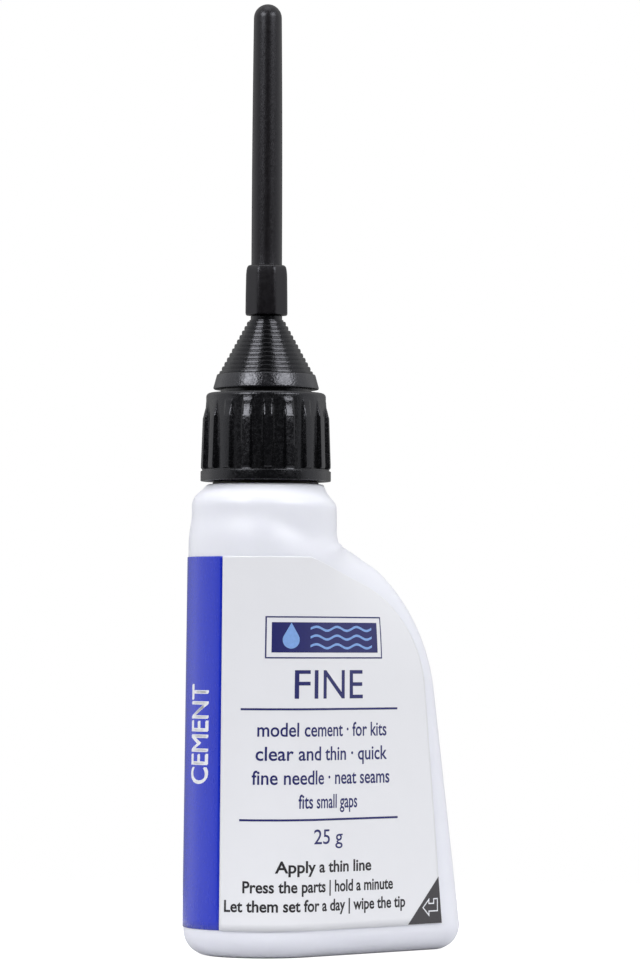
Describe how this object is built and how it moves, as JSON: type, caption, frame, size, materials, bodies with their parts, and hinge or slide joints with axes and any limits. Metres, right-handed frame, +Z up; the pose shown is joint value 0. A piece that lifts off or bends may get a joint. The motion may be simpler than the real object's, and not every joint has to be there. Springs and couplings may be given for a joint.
{
  "type": "glue applicator bottle",
  "caption": "Plastic squeeze bottle with a round spine and a flared thin edge, a ribbed screw collar, a ringed cone nozzle with a steel needle, and a long pull-off needle sleeve.",
  "frame": {"origin": "middle of the bounding box, on the surface that the foot stands on", "axes": "+Z up, +X from the round spine to the thin edge, -Y out of the front label"},
  "size_m": [0.044, 0.0235, 0.1374],
  "materials": {
    "bottle_plastic": "white blow-moulded polyethylene, soft sheen, slightly translucent",
    "cement": "thin clear liquid",
    "label_paper": "white label stock with a blue band over the spine",
    "label_film": "white laminated leaf with dark blue print",
    "nozzle_plastic": "black moulded polypropylene, fine grain",
    "needle_steel": "drawn stainless tube",
    "seal_rubber": "grey elastomer",
    "collar_plastic": "black moulded polypropylene, fine grain, satin ribs",
    "sleeve_plastic": "black satin polyethylene"
  },
  "bodies": {
    "bottle": {"bottle": "bottle_plastic", "glue": "cement", "label_base": "label_paper"},
    "leaf": {"label_leaf": "label_film"},
    "nozzle": {"nozzle": "nozzle_plastic", "needle": "needle_steel", "seal_washer": "seal_rubber"},
    "collar": {"screw_collar": "collar_plastic"},
    "sleeve": {"needle_sleeve": "sleeve_plastic"}
  },
  "joints": [
    {"name": "nozzle_lift", "type": "slide", "parent": "bottle", "child": "nozzle", "axis": [0, 0, 1], "range_m": [0, 0.0046]},
    {"name": "collar_turn", "type": "hinge", "parent": "nozzle", "child": "collar", "pos_m": [-0.01026, 0, 0.0745], "axis": [0, 0, 1], "range_deg": [0, 540]},
    {"name": "sleeve_pull", "type": "slide", "parent": "nozzle", "child": "sleeve", "axis": [0, 0, 1], "range_m": [0, 0.045]},
    {"name": "leaf_peel", "type": "hinge", "parent": "bottle", "child": "leaf", "pos_m": [-0.02072, -0.00533, 0.0041], "axis": [-0.0079, -0.004, -1], "range_deg": [0, 110]}
  ],
  "couplings": [
    {"joint": "nozzle_lift", "follows": "collar_turn", "m_per_rad": 0.00047746}
  ]
}
